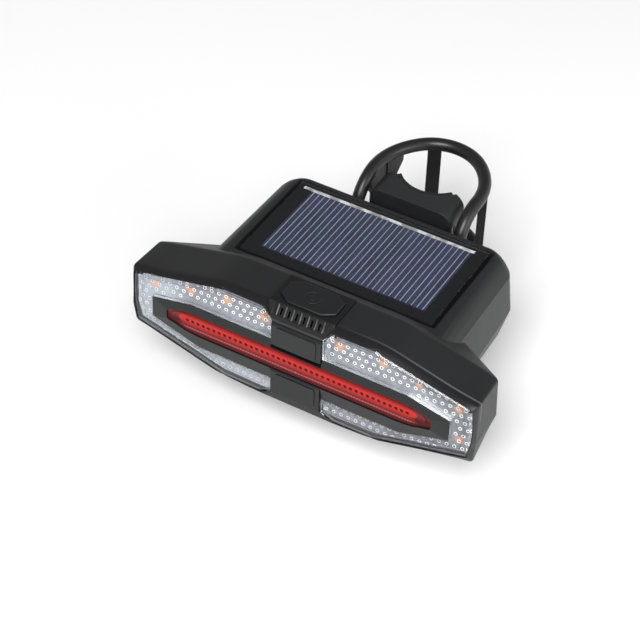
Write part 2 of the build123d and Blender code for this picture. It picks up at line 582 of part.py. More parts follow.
flap += bx(USB_X + 6.5, USB_X + 7.5, USB_Y - 2.0, USB_Y + 2.0, BOX_BOTTOM - 0.5, BOX_BOTTOM + 0.1)
keep("usb_cover", flap)

keep("buzzer", cyl_z(22.0, 30.5, BOX_BOTTOM + 2.0, -6.5, 8.0) - cyl_z(22.0, 30.5, -7.5, -6.0, 1.5))
keep("radio_module", bx(-9.0, 8.0, 22.0, 38.0, -1.0, 0.0) + bx(-3.0, 3.0, 27.0, 33.0, -0.1, 1.3))
coil = None
for k in range(6):
    t = Pos(12.0 + 1.4 * k, 30.0, 0.0) * Rot(0, 90, 0) * Torus(2.4, 0.35)
    coil = t if coil is None else coil + t
coil += cyl_x(30.0, -2.25, 7.5, 19.4, 0.24)
keep("antenna_coil", coil)


def lead(points, radii, r):
    path = FilletPolyline(*[Vector(*p) for p in points], radius=radii)
    w = path.wire() if hasattr(path, "wire") else path
    start = w.position_at(0)
    plane = Plane(origin=start, z_dir=w.tangent_at(0))
    return sweep(plane * Circle(r), path=w)


wires = []
for dz, y_end, x_end in ((0.0, 38.0, -29.0), (2.2, 36.0, -31.2)):
    y0 = BATTERY_Y - 4.0 + dz * 0.4
    z0 = BATTERY_Z + 2.0 + dz
    pts = [(-BATTERY_L / 2, y0, z0), (-BATTERY_L / 2 - 3.6 - dz, y0, z0), (-BATTERY_L / 2 - 3.6 - dz, y_end, z0 - 1.0), (x_end, y_end, z0 - 1.0), (x_end, y_end, -7.0)]
    wires.append(lead(pts, [1.5, 2.2, 1.8], 0.6))
keep("battery_wires", Compound([s.solid() for s in wires]))


# ------------------------------------------------------------- bracket and seat
def build_bracket():
    zt, zb = SADDLE_TOP, SADDLE_BOTTOM
    plan = rounded(
        [(15.0, 76.2), (16.6, 78.0), (16.6, 84.8), (16.0, 87.4), (11.9, 88.7), (-11.9, 88.7), (-16.0, 87.4), (-16.6, 84.8), (-16.6, 78.0), (-15.0, 76.2)],
        [2.0, 2.2, 1.6, 2.2, 0.8, 0.8, 2.2, 1.6, 2.2, 2.0], 5)
    front = rounded([(16.6, zt), (16.6, zb), (-16.6, zb), (-16.6, zt)], [5.5, 3.5, 3.5, 5.5], 8)
    body = prism_z(plan, zb, zt) & prism_y(front, 70.0, 95.0)
    # waist under the top and over the bottom, with broad upright ribs
    for s in (1, -1):
        cut = bx(s * 14.7, s * 19.0, 74.0, 86.0, -15.5, 10.8)
        for y in (78.0, 80.8, 83.6):
            cut -= bx(s * 14.3, s * 16.3, y - 0.95, y + 0.95, -16, 11.2)
        body -= cut
    body -= cyl_z(0, SEAT_Y, zb - 1, zt + 1, SEAT_R + PAD_T)
    # neck and the flange on the box
    body += bx(-8.0, 8.0, BOX_REAR + 2.0, 76.5, -11.5, 8.0)
    flange = prism_y(rounded(both([(10.5, 9.0), (10.5, -12.5)]), 2.0, 4), BOX_REAR, BOX_REAR + 2.5)
    body += flange
    # bosses for the two strap posts
    for s in (1, -1):
        body += bx(s * 13.0, s * 16.6, POST_Y - 3.3, POST_Y + 3.3, SEAT_Z - 3.3, SEAT_Z + 3.3)
        body -= cyl_x(POST_Y, SEAT_Z, s * 10.0 if s > 0 else -18.0, 18.0 if s > 0 else -10.0, 1.5)
    # pilot holes of the four screws
    for x, z in BRACKET_SCREWS:
        body -= cyl_y(x, z, BOX_REAR - 1, BOX_REAR + 5.5, 1.0)
    return body


BRACKET_SCREWS = ((-6.0, 5.0), (6.0, 5.0), (-6.0, -8.5), (6.0, -8.5))
keep("mount_bracket", build_bracket())

sector = [(0.0, SEAT_Y)]
for k in range(25):
    a = math.radians(-90 - PAD_HALF_ANGLE + 2 * PAD_HALF_ANGLE * k / 24)
    sector.append((30 * math.cos(a), SEAT_Y + 30 * math.sin(a)))
pad_ring = cyl_z(0, SEAT_Y, SADDLE_BOTTOM, SADDLE_TOP, SEAT_R + PAD_T) - cyl_z(0, SEAT_Y, -40, 40, SEAT_R)
keep("saddle_pad", pad_ring & prism_z(sector, -40, 40))

posts = []
for s in (1, -1):
    p = cyl_x(POST_Y, SEAT_Z, min(s * 16.6, s * 23.1), max(s * 16.6, s * 23.1), POST_R)
    p += cyl_x(POST_Y, SEAT_Z, min(s * 10.2, s * 16.7), max(s * 10.2, s * 16.7), 1.5)
    p += cyl_x(POST_Y, SEAT_Z, min(s * 22.9, s * 24.2), max(s * 22.9, s * 24.2), 3.3)
    posts.append(p)
keep("strap_posts", Compound([p.solid() for p in posts]))

bolts = []
for x, z in BRACKET_SCREWS:
    bolts.append(cyl_y(x, z, BOX_REAR - 5.0, BOX_REAR - 3.4, 2.4) + cyl_y(x, z, BOX_REAR - 3.5, BOX_REAR + 5.0, 1.2))
keep("bracket_screws", Compound([b.solid() for b in bolts]))


# ------------------------------------------------------------------------ strap
def rail_at(deg):
    """centre line of a rail at a bearing from the rear, with its direction outwards"""
    a = math.radians(deg)
    if abs(deg) <= SIDE_FROM:
        return STRAP_REAR_R * math.sin(a), REAR_C + STRAP_REAR_R * math.cos(a)
    s = 1.0 if deg > 0 else -1.0
    return s * (STRAP_X - STRAP_SIDE_R) + STRAP_SIDE_R * math.sin(a), STRAP_Y + STRAP_SIDE_R * math.cos(a)


SIDE_FROM = 90.0 - math.degrees(math.atan2(REAR_C - STRAP_Y, STRAP_SIDE_R - STRAP_X))


def build_strap():
    r = STRAP_D / 2
    side = 90.0 - SIDE_FROM
    body = None

    def add(x, y, z, out, along, about, turn):
        nonlocal body
        sec = Plane(origin=(x, y, z), x_dir=out, z_dir=along) * Circle(r)
        piece = revolve(sec, axis=about, revolution_arc=turn)
        body = piece if body is None else body + piece

    a = math.radians(SIDE_FROM)
    jx, jy = rail_at(SIDE_FROM)
    drop = STRAP_Y - STRAP_FRONT
    for z, up in ((SEAT_Z + STRAP_HALF_H, 1), (SEAT_Z - STRAP_HALF_H, -1)):
        # rail: rear arc between two flatter side arcs
        add(STRAP_X, STRAP_Y, z, (1, 0, 0), (0, 1, 0), Axis((STRAP_X - STRAP_SIDE_R, STRAP_Y, z), (0, 0, 1)), side)
        add(jx, jy, z, (math.sin(a), math.cos(a), 0), (-math.cos(a), math.sin(a), 0), Axis((0, REAR_C, z), (0, 0, 1)), 2 * SIDE_FROM)
        add(-jx, jy, z, (-math.sin(a), math.cos(a), 0), (-math.cos(a), -math.sin(a), 0), Axis((STRAP_SIDE_R - STRAP_X, STRAP_Y, z), (0, 0, 1)), side)
        # its two ends curve down towards the hook posts
        for s in (1, -1):
            add(s * STRAP_X, STRAP_Y, z, (1, 0, 0), (0, -1, 0), Axis((0, STRAP_Y, z - up * drop), (up, 0, 0)), 90)
    for s in (1, -1):
        body += cyl_z(s * STRAP_X, STRAP_FRONT, SEAT_Z - STRAP_HALF_H + drop, SEAT_Z + STRAP_HALF_H - drop, r)
    low, high = SEAT_Z - STRAP_HALF_H, SEAT_Z + STRAP_HALF_H
    for deg in RUNG_ANGLES:
        x, y = rail_at(deg)
        body += Pos(x, y, 0) * Rot(0, 0, -deg) * bx(-RUNG_W / 2, RUNG_W / 2, -RUNG_T / 2, RUNG_T / 2, low, high)
    # broad grip at the left
    x, y = rail_at(-68.0)
    grip = [(-3.6, high), (-3.6, low), (3.6, low), (3.6, low + 4.0), (1.0, low + 9.0), (1.0, high - 9.0), (3.6, high - 4.0), (3.6, high)]
    body += Pos(x, y, 0) * Rot(0, 0, 68.0) * prism_y(grip, -RUNG_T / 2, RUNG_T / 2)
    # and the pull tab that runs on from it under the upper rail
    x, y = rail_at(-84.0)
    tab = [(-5.6, high), (-5.6, high - 9.0), (-2.0, SEAT_Z + 3.1), (5.2, SEAT_Z + 3.1), (5.2, high)]
    body += Pos(x - 0.5, y, 0) * Rot(0, 0, 84.0) * prism_y(tab, -RUNG_T / 2, RUNG_T / 2)
    return body


keep("strap", build_strap())

# ------------------------------------------------------------------------ write
total = 0
for name, shape in NODES.items():
    moved = shape.moved(SHIFT)
    export_step(moved, f"parts/{name}.step")
    bb = moved.bounding_box()
    total += 1
    print(f"{name:20s} solids {len(moved.solids()):3d}  {bb.size.X:7.2f} x {bb.size.Y:6.2f} x {bb.size.Z:6.2f}  vol {moved.volume:10.2f}")
print(total, "nodes")
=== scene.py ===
"""Looks of the bicycle turn signal light: finishes, lens optics, studio and camera."""
import json
import math

import bmesh
import bpy
from mathutils import Matrix, Vector

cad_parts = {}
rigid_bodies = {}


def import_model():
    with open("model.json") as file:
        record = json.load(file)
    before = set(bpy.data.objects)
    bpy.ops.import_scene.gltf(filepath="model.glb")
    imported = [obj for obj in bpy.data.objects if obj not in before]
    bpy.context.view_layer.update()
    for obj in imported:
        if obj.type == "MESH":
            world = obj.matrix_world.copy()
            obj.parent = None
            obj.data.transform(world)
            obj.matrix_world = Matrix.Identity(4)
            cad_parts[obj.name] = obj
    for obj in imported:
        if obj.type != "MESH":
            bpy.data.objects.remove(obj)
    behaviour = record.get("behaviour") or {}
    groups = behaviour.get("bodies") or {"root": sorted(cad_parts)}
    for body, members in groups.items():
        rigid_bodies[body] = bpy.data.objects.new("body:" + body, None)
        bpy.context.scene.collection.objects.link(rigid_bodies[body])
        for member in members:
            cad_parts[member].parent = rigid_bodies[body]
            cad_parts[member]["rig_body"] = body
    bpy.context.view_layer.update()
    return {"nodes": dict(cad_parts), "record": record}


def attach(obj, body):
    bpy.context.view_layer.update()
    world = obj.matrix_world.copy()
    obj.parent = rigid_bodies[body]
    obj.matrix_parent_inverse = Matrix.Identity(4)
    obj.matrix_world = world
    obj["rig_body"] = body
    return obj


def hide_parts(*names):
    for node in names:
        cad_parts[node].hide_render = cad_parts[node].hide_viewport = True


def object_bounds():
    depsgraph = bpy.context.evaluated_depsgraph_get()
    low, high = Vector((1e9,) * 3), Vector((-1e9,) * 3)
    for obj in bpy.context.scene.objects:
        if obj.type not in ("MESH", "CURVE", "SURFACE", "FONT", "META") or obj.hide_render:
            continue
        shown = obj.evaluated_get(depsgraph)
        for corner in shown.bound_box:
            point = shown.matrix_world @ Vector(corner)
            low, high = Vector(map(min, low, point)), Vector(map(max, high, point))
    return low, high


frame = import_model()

NODES = frame["nodes"]

MM = 0.001
OFF_Y, OFF_Z = -96.8, 1.5        # the drawing's zero in the row frame, mm


def P(x, y, z):
    """a point of the drawing (mm) in the row frame (m)"""
    return ((x) * MM, (y + OFF_Y) * MM, (z + OFF_Z) * MM)


# ------------------------------------------------------------------ materials
class Net:
    """a small helper to write node trees"""

    def __init__(self, name):
        self.mat = bpy.data.materials.new(name)
        self.mat.use_nodes = True
        self.nt = self.mat.node_tree
        self.nt.nodes.clear()
        self.out = self.nt.nodes.new("ShaderNodeOutputMaterial")
        self.bsdf = self.nt.nodes.new("ShaderNodeBsdfPrincipled")
        self.nt.links.new(self.bsdf.outputs[0], self.out.inputs[0])
        self.co = self.nt.nodes.new("ShaderNodeTexCoord").outputs["Object"]
        self._axes = None

    def link(self, a, b):
        self.nt.links.new(a, b)

    def put(self, sock, value):
        if hasattr(value, "is_linked"):
            self.link(value, sock)
        elif isinstance(value, (tuple, list)) and len(value) == 3 and sock.type == "RGBA":
            sock.default_value = (*value, 1.0)
        else:
            sock.default_value = value

    def math(self, op, a, b=0.0, c=None, clamp=False):
        n = self.nt.nodes.new("ShaderNodeMath")
        n.operation = op
        n.use_clamp = clamp
        self.put(n.inputs[0], a)
        self.put(n.inputs[1], b)
        if c is not None:
            self.put(n.inputs[2], c)
        return n.outputs[0]

    def axes(self):
        """x, y, z of the drawing in mm"""
        if self._axes is None:
            s = self.nt.nodes.new("ShaderNodeSeparateXYZ")
            self.link(self.co, s.inputs[0])
            x = self.math("MULTIPLY", s.outputs[0], 1000.0)
            y = self.math("MULTIPLY_ADD", s.outputs[1], 1000.0, -OFF_Y)
            z = self.math("MULTIPLY_ADD", s.outputs[2], 1000.0, -OFF_Z)
            self._axes = (x, y, z)
        return self._axes

    def step(self, v, lo, hi, a=0.0, b=1.0):
        n = self.nt.nodes.new("ShaderNodeMapRange")
        n.interpolation_type = "SMOOTHSTEP"
        self.put(n.inputs["Value"], v)
        self.put(n.inputs["From Min"], lo)
        self.put(n.inputs["From Max"], hi)
        self.put(n.inputs["To Min"], a)
        self.put(n.inputs["To Max"], b)
        return n.outputs[0]

    def noise(self, scale, detail=3.0, rough=0.55, vec=None, stretch=None):
        n = self.nt.nodes.new("ShaderNodeTexNoise")
        v = vec or self.co
        if stretch:
            m = self.nt.nodes.new("ShaderNodeMapping")
            m.inputs["Scale"].default_value = stretch
            self.link(v, m.inputs[0])
            v = m.outputs[0]
        self.link(v, n.inputs["Vector"])
        n.inputs["Scale"].default_value = scale
        n.inputs["Detail"].default_value = detail
        n.inputs["Roughness"].default_value = rough
        return n.outputs["Fac"]

    def mix(self, fac, a, b):
        n = self.nt.nodes.new("ShaderNodeMix")
        n.data_type = "RGBA"
        self.put(n.inputs[0], fac)
        self.put(n.inputs[6], a)
        self.put(n.inputs[7], b)
        return n.outputs[2]

    def bump(self, height, distance, strength=1.0, normal=None):
        n = self.nt.nodes.new("ShaderNodeBump")
        n.inputs["Strength"].default_value = strength
        n.inputs["Distance"].default_value = distance
        self.link(height, n.inputs["Height"])
        if normal is not None:
            self.link(normal, n.inputs["Normal"])
        return n.outputs[0]

    def round_edges(self, radius, samples=4):
        n = self.nt.nodes.new("ShaderNodeBevel")
        n.samples = samples
        n.inputs["Radius"].default_value = radius
        return n.outputs[0]

    def set(self, **kw):
        names = {"color": "Base Color", "rough": "Roughness", "metal": "Metallic", "normal": "Normal",
                 "spec": "Specular IOR Level", "ior": "IOR", "coat": "Coat Weight", "coat_rough": "Coat Roughness",
                 "trans": "Transmission Weight", "alpha": "Alpha", "sheen": "Sheen Weight",
                 "glow": "Emission Color", "glow_power": "Emission Strength", "sheen_rough": "Sheen Roughness"}
        for k, v in kw.items():
            self.put(self.bsdf.inputs[names[k]], v)
        return self


def rim_painted_shade_and_highlight(m, col):
    """painted shade darkens the bevel round the lens opening, and a painted highlight line, stronger to the right,
    runs where it meets the top
    """
    x, y, z = m.axes()
    top = m.step(z, 2.0, 6.0)
    # painted shade: the bevel between the lens and the top is darkened
    rim = m.math("MULTIPLY", m.step(y, 4.35, 4.0), top)
    col = m.mix(m.math("MULTIPLY", rim, 0.8), col, (0.0050, 0.0050, 0.0062))
    # painted highlight: a light line along the top's front edge, growing stronger to the right
    line = m.math("MULTIPLY", m.step(m.math("ABSOLUTE", m.math("SUBTRACT", y, 4.55)), 0.48, 0.12), top)
    line = m.math("MULTIPLY", line, m.step(x, 8.0, 52.0, 0.0, 1.0))
    return m.mix(line, col, (0.085, 0.085, 0.092))


def rib_painted_highlights_and_shade(m, col):
    """painted highlights brighten the ribs' right flanks, and painted shade darkens the sunk field between them"""
    x, y, z = m.axes()
    front = m.math("MULTIPLY", m.step(y, 3.4, 3.2), m.math("MULTIPLY", m.step(z, 17.1, 17.5), m.step(z, 20.55, 20.3)))
    front = m.math("MULTIPLY", front, m.step(m.math("ABSOLUTE", x), 9.9, 9.7))
    cell = m.math("SUBTRACT", m.math("MODULO", m.math("ADD", x, 2.83 * 4.5), 2.83), 2.83 * 0.5)
    # painted shade: the sunk field between the ribs is darkened
    col = m.mix(m.math("MULTIPLY", front, 0.8), col, (0.0020, 0.0020, 0.0022))
    # painted highlight on each rib's right flank, broken up by noise
    flank_highlight = m.math("MULTIPLY", m.step(cell, 0.04, 0.14), m.step(cell, 0.38, 0.28))
    uneven = m.step(m.noise(260.0, 2.0), 0.3, 0.65, 0.25, 0.8)
    return m.mix(m.math("MULTIPLY", m.math("MULTIPLY", front, flank_highlight), uneven), col, (0.22, 0.22, 0.23))


def moulded(name, color, rough, grain=7000.0, depth=0.010, mottling=0.16, edge=0.22, spec=0.5, rough_var=0.05, dust=0.0, painted_light=None):
    """spark-eroded or polished moulded plastic: fine grain, slight mottling, rounded edges"""
    m = Net(name)
    slow = m.noise(140.0, 4.0, 0.6)
    fine = m.noise(grain, 2.0, 0.7)
    lo = tuple(c * (1 - mottling) for c in color)
    hi = tuple(c * (1 + mottling) + dust for c in color)
    col = m.mix(slow, lo, hi)
    # the given function paints light and shade into the colour
    if painted_light:
        col = painted_light(m, col)
    m.set(color=col,
          rough=m.math("MULTIPLY_ADD", slow, 2 * rough_var, rough - rough_var),
          normal=m.bump(fine, depth * MM, 1.0, m.round_edges(edge * MM)), spec=spec)
    return m.mat


# emitters that show through the optics: x, z, radius
AMBER_SPOTS = ((15.0, 13.9, 2.9), (30.8, 14.2, 2.7), (44.0, 11.5, 1.9), (58.3, 8.0, 2.6), (59.4, -4.9, 2.4),
               (-13.3, 12.8, 3.0), (-27.5, 13.6, 3.0), (-41.8, 11.2, 2.6), (-56.0, 7.6, 2.6))


def build_materials():
    M = {}
    # the housing gets painted shade on the lens bevel and a painted highlight line along the top edge
    M["housing_plastic"] = moulded("housing_plastic", (0.0108, 0.0112, 0.0120), 0.47, 6500.0, 0.012, 0.10, 0.30, 0.42,
                                   painted_light=rim_painted_shade_and_highlight)
    M["frame_plastic"] = moulded("frame_plastic", (0.0062, 0.0067, 0.0075), 0.38, 9000.0, 0.004, 0.10, 0.22, 0.36)
    # the button block gets painted highlights on its rib flanks and painted shade in its sunk field
    M["block_plastic"] = moulded("block_plastic", (0.0052, 0.0054, 0.0060), 0.33, 9000.0, 0.003, 0.10, 0.20, painted_light=rib_painted_highlights_and_shade)
    M["bracket_plastic"] = moulded("bracket_plastic", (0.0135, 0.0140, 0.0150), 0.46, 6500.0, 0.012, 0.12, 0.30)
    M["inner_plastic"] = moulded("inner_plastic", (0.015, 0.015, 0.016), 0.5, 6500.0, 0.008, 0.12, 0.15)
    M["seal_rubber"] = moulded("seal_rubber", (0.011, 0.011, 0.012), 0.6, 5000.0, 0.01, 0.15, 0.2, 0.35)
    M["button_rubber"] = moulded("button_rubber", (0.0072, 0.0076, 0.0094), 0.44, 8000.0, 0.005, 0.08, 0.22, 0.45)

    # strap: glossy silicone rubber with a faint bloom and flow marks
    m = Net("strap_rubber")
    slow, fine = m.noise(90.0, 4.0, 0.6), m.noise(3200.0, 2.0)
    m.set(color=m.mix(slow, (0.007, 0.007, 0.0075), (0.013, 0.013, 0.014)),
          rough=m.math("MULTIPLY_ADD", slow, 0.14, 0.27),
          normal=m.bump(fine, 0.006 * MM), spec=0.40)
    M["strap_rubber"] = m.mat

    # circuit boards: solder mask over copper runs
    m = Net("circuit_board")
    a = m.noise(500.0, 1.0, vec=None, stretch=(0.3, 1, 3))
    m.set(color=m.mix(m.step(a, 0.48, 0.52), (0.01, 0.085, 0.035), (0.02, 0.16, 0.07)), rough=m.math("MULTIPLY_ADD", a, 0.1, 0.3))
    M["circuit_board"] = m.mat

    def metal(name, color, rough, stretch):
        m = Net(name)
        a = m.noise(900.0, 3.0, 0.6, stretch=stretch)
        m.set(color=m.mix(a, tuple(c * 0.82 for c in color), color), metal=1.0,
              rough=m.math("MULTIPLY_ADD", a, 0.16, rough), normal=m.bump(a, 0.004 * MM, 1.0, m.round_edges(0.1 * MM)))
        M[name] = m.mat
    metal("screw_steel", (0.52, 0.52, 0.54), 0.28, (1, 1, 6))
    metal("socket_steel", (0.66, 0.66, 0.68), 0.24, (1, 6, 1))
    metal("copper", (0.78, 0.42, 0.24), 0.3, (4, 1, 1))

    for name, lo, hi, rough in (("wire_skin", (0.28, 0.02, 0.02), (0.40, 0.035, 0.03), 0.45),
                                ("battery_wrap", (0.03, 0.15, 0.36), (0.05, 0.21, 0.46), 0.28),
                                ("amber_led", (0.85, 0.42, 0.10), (0.98, 0.62, 0.24), 0.3),
                                ("red_led", (0.62, 0.03, 0.03), (0.85, 0.08, 0.06), 0.3)):
        m = Net(name)
        a = m.noise(700.0, 3.0)
        m.set(color=m.mix(a, lo, hi), rough=m.math("MULTIPLY_ADD", a, 0.1, rough), normal=m.bump(a, 0.004 * MM))
        M[name] = m.mat

    # --- solar panel
    m = Net("solar_cell")
    x, y, z = m.axes()
    cryst = m.nt.nodes.new("ShaderNodeTexVoronoi")
    cryst.inputs["Scale"].default_value = 190.0
    m.link(m.co, cryst.inputs["Vector"])
    grain = m.nt.nodes.new("ShaderNodeSeparateColor")
    m.link(cryst.outputs["Color"], grain.inputs[0])
    wide = m.noise(42.0, 3.0, 0.6)
    strip = m.noise(480.0, 1.0, stretch=(1.0, 0.06, 1.0))
    base = m.mix(m.step(wide, 0.35, 0.65), (0.012, 0.018, 0.036), (0.021, 0.019, 0.046))
    base = m.mix(m.math("MULTIPLY", grain.outputs[0], 0.35), base, (0.012, 0.030, 0.050))
    base = m.mix(m.step(strip, 0.35, 0.7, 0.0, 0.45), base, (0.004, 0.005, 0.012))
    m.set(color=base, rough=m.math("MULTIPLY_ADD", grain.outputs[1], 0.12, 0.30), spec=0.3)
    M["solar_cell"] = m.mat

    m = Net("silver_ink")
    a = m.noise(2600.0, 3.0, 0.7)
    b = m.noise(300.0, 2.0, 0.6)
    col = m.mix(a, (0.26, 0.28, 0.34), (0.42, 0.44, 0.52))
    m.set(color=m.mix(m.step(b, 0.35, 0.7, 0.0, 0.45), col, (0.14, 0.15, 0.20)), rough=m.math("MULTIPLY_ADD", a, 0.2, 0.32),
          metal=0.25, normal=m.bump(a, 0.01 * MM))
    M["silver_ink"] = m.mat

    m = Net("busbar_ribbon")
    x, y, z = m.axes()
    a = m.noise(1400.0, 3.0, 0.7)
    patch = m.step(m.noise(170.0, 2.0, 0.6), 0.44, 0.60)
    col = m.mix(patch, (0.30, 0.29, 0.28), (0.82, 0.80, 0.76))
    m.set(color=m.mix(m.math("MULTIPLY", a, 0.3), col, (0.2, 0.2, 0.2)), rough=m.math("MULTIPLY_ADD", a, 0.2, 0.25),
          metal=0.45, normal=m.bump(a, 0.03 * MM))
    M["busbar_ribbon"] = m.mat

    m = Net("panel_border")
    a = m.noise(5000.0, 2.0)
    m.set(color=m.mix(a, (0.008, 0.008, 0.009), (0.014, 0.014, 0.016)), rough=m.math("MULTIPLY_ADD", a, 0.08, 0.4))
    M["panel_border"] = m.mat

    def glazing(name, color, rough, ior, haze):
        """clear moulding that lets the lamps' light through to what is behind it"""
        m = Net(name)
        a = m.noise(260.0, 3.0, 0.6)
        m.set(color=m.mix(a, tuple(c * haze for c in color), color), rough=rough, ior=ior, trans=1.0,
              spec=0.35)
        clear = m.nt.nodes.new("ShaderNodeBsdfTransparent")
        clear.inputs[0].default_value = (0.94, 0.95, 0.96, 1)
        path = m.nt.nodes.new("ShaderNodeLightPath")
        mix = m.nt.nodes.new("ShaderNodeMixShader")
        m.link(path.outputs["Is Shadow Ray"], mix.inputs[0])
        m.link(m.bsdf.outputs[0], mix.inputs[1])
        m.link(clear.outputs[0], mix.inputs[2])
        m.link(mix.outputs[0], m.out.inputs[0])
        M[name] = m.mat
    glazing("clear_lens", (0.97, 0.98, 0.99), 0.03, 1.40, 0.97)
    glazing("panel_cover", (0.90, 0.92, 0.95), 0.04, 1.38, 0.97)

    # --- optics behind the clear lenses: silvered face with the amber emitters showing through
    m = Net("reflector_silver")
    x, y, z = m.axes()
    ax = m.math("ABSOLUTE", x)
    cells = m.nt.nodes.new("ShaderNodeTexVoronoi")
    cells.inputs["Scale"].default_value = 620.0
    m.link(m.co, cells.inputs["Vector"])
    cloud = m.noise(150.0, 4.0, 0.65)
    tone = m.math("MULTIPLY_ADD", cells.outputs["Distance"], 0.55, m.math("MULTIPLY_ADD", cloud, 0.9, -0.25), clamp=True)
    base = m.mix(tone, (0.070, 0.074, 0.086), (0.235, 0.245, 0.265))
    # cloudier and greyer towards the left end and along the lower left arm
    left = m.math("MAXIMUM", m.step(x, -42.0, -50.0), m.math("MULTIPLY", m.step(x, 0.0, -9.0), m.step(z, -2.0, -8.0)), clamp=True)
    base = m.mix(m.math("MULTIPLY", left, 0.7), base, (0.31, 0.33, 0.355))
    # the silvering is darker towards the right end
    base = m.mix(m.math("MULTIPLY", m.step(x, 38.0, 58.0), 0.45), base, (0.060, 0.066, 0.074))
    glow = None
    for lx, lz, r in AMBER_SPOTS:
        d = m.nt.nodes.new("ShaderNodeVectorMath")
        d.operation = "DISTANCE"
        v = m.nt.nodes.new("ShaderNodeCombineXYZ")
        m.link(x, v.inputs[0])
        m.link(z, v.inputs[2])
        m.link(v.outputs[0], d.inputs[0])
        d.inputs[1].default_value = (lx, 0.0, lz)
        g = m.step(d.outputs["Value"], r, 0.35)
        glow = g if glow is None else m.math("MAXIMUM", glow, g)
    glow = m.math("MULTIPLY", glow, m.step(m.noise(900.0, 2.0), 0.25, 0.6, 0.55, 1.0))
    base = m.mix(m.math("MULTIPLY", glow, 0.85), base, (0.58, 0.25, 0.10))
    m.set(color=base, rough=m.math("MULTIPLY_ADD", cloud, 0.2, 0.42),
          normal=m.bump(cells.outputs["Distance"], 0.04 * MM), spec=0.3)
    M["reflector_silver"] = m.mat

    # side walls of the optics: a painted highlight along the front edge above the frame, amber-tinted near the left
    # emitter, grey behind it
    m = Net("optic_wall")
    x, y, z = m.axes()
    ax = m.math("ABSOLUTE", x)
    upper = m.math("MULTIPLY", m.step(z, 1.5, 2.5), m.step(ax, 56.6, 56.2))
    ledge = m.math("MULTIPLY_ADD", m.math("MAXIMUM", m.math("SUBTRACT", ax, 41.0), 0.0), -0.2237, 6.45)
    by_frame = m.math("MULTIPLY", m.step(m.math("ABSOLUTE", m.math("SUBTRACT", z, ledge)), 0.5, 0.3), upper)
    streak = m.noise(220.0, 2.0, 0.5, stretch=(1.0, 0.2, 0.2))
    grey = m.mix(streak, (0.050, 0.054, 0.062), (0.10, 0.105, 0.118))
    # the painted highlight takes an amber tint near the left emitter
    tint = m.math("MULTIPLY", m.step(m.math("ABSOLUTE", m.math("ADD", x, 43.0)), 4.5, 1.5), 0.8)
    bright = m.mix(tint, (0.90, 0.91, 0.93), (0.80, 0.42, 0.16))
    # painted highlight: the wall's front edge along the frame is coloured near-white
    edge = m.math("MULTIPLY", m.step(y, 1.30, 1.20), by_frame)
    m.set(color=m.mix(edge, grey, bright), rough=0.5, spec=0.2)
    M["optic_wall"] = m.mat

    m = Net("optic_ring")
    x, y, z = m.axes()
    left = m.math("MAXIMUM", m.step(x, -44.0, -50.0), m.math("MULTIPLY", m.step(x, 0.0, -9.0), m.step(z, -2.0, -8.0)), clamp=True)
    low = m.math("MULTIPLY", m.step(z, -6.0, -12.0), m.step(x, 52.0, 44.0))
    dull = m.math("MAXIMUM", m.math("MULTIPLY", left, 0.62), m.math("MULTIPLY", low, 0.5))
    a = m.noise(800.0, 2.0)
    col = m.mix(m.math("MULTIPLY", a, 0.4), (0.80, 0.81, 0.83), (0.50, 0.52, 0.56))
    col = m.mix(m.math("MULTIPLY", m.step(x, 38.0, 58.0), 0.35), col, (0.45, 0.46, 0.48))
    m.set(color=m.mix(dull, col, (0.34, 0.36, 0.39)), rough=m.math("MULTIPLY_ADD", a, 0.15, 0.35), spec=0.35)
    M["optic_ring"] = m.mat
    m = Net("optic_well")
    x, y, z = m.axes()
    left = m.math("MAXIMUM", m.step(x, -44.0, -50.0), m.math("MULTIPLY", m.step(x, 0.0, -9.0), m.step(z, -2.0, -8.0)), clamp=True)
    low = m.math("MULTIPLY", m.step(z, -6.0, -12.0), m.step(x, 52.0, 44.0))
    dull = m.math("MAXIMUM", m.math("MULTIPLY", left, 0.62), m.math("MULTIPLY", low, 0.6))
    a = m.noise(800.0, 2.0)
    m.set(color=m.mix(dull, m.mix(a, (0.020, 0.022, 0.028), (0.055, 0.058, 0.07)), (0.20, 0.22, 0.245)), rough=m.math("MULTIPLY_ADD", a, 0.15, 0.4), spec=0.2)
    M["optic_well"] = m.mat

    # --- red line lens: bright upper zone with the row of emitters, dull lower zone
    m = Net("red_lens")
    x, y, z = m.axes()
    ax = m.math("ABSOLUTE", x)
    cell = m.math("SUBTRACT", m.math("MODULO", m.math("ADD", ax, 1.0425), 2.085), 1.0425)
    dist = m.math("SQRT", m.math("ADD", m.math("MULTIPLY", cell, cell), m.math("MULTIPLY", m.math("ADD", z, -0.05), m.math("ADD", z, -0.05))))
    inside = m.step(ax, 42.9, 42.7)
    dot = m.math("MULTIPLY", m.step(dist, 0.72, 0.54), inside)
    halo = m.math("MULTIPLY", m.step(dist, 0.95, 0.45), inside)
    tz = m.math("SUBTRACT", z, 0.25)
    reach = m.math("MULTIPLY_ADD", m.math("MULTIPLY", tz, tz), -0.75, 45.2)
    bright = m.math("MULTIPLY", m.step(z, -1.95, -1.75), m.step(m.math("SUBTRACT", ax, reach), 0.25, -0.25))
    fine = m.noise(1100.0, 2.0)
    up = m.mix(m.step(z, -1.9, 0.6), (0.20, 0.016, 0.015), (0.38, 0.022, 0.020))
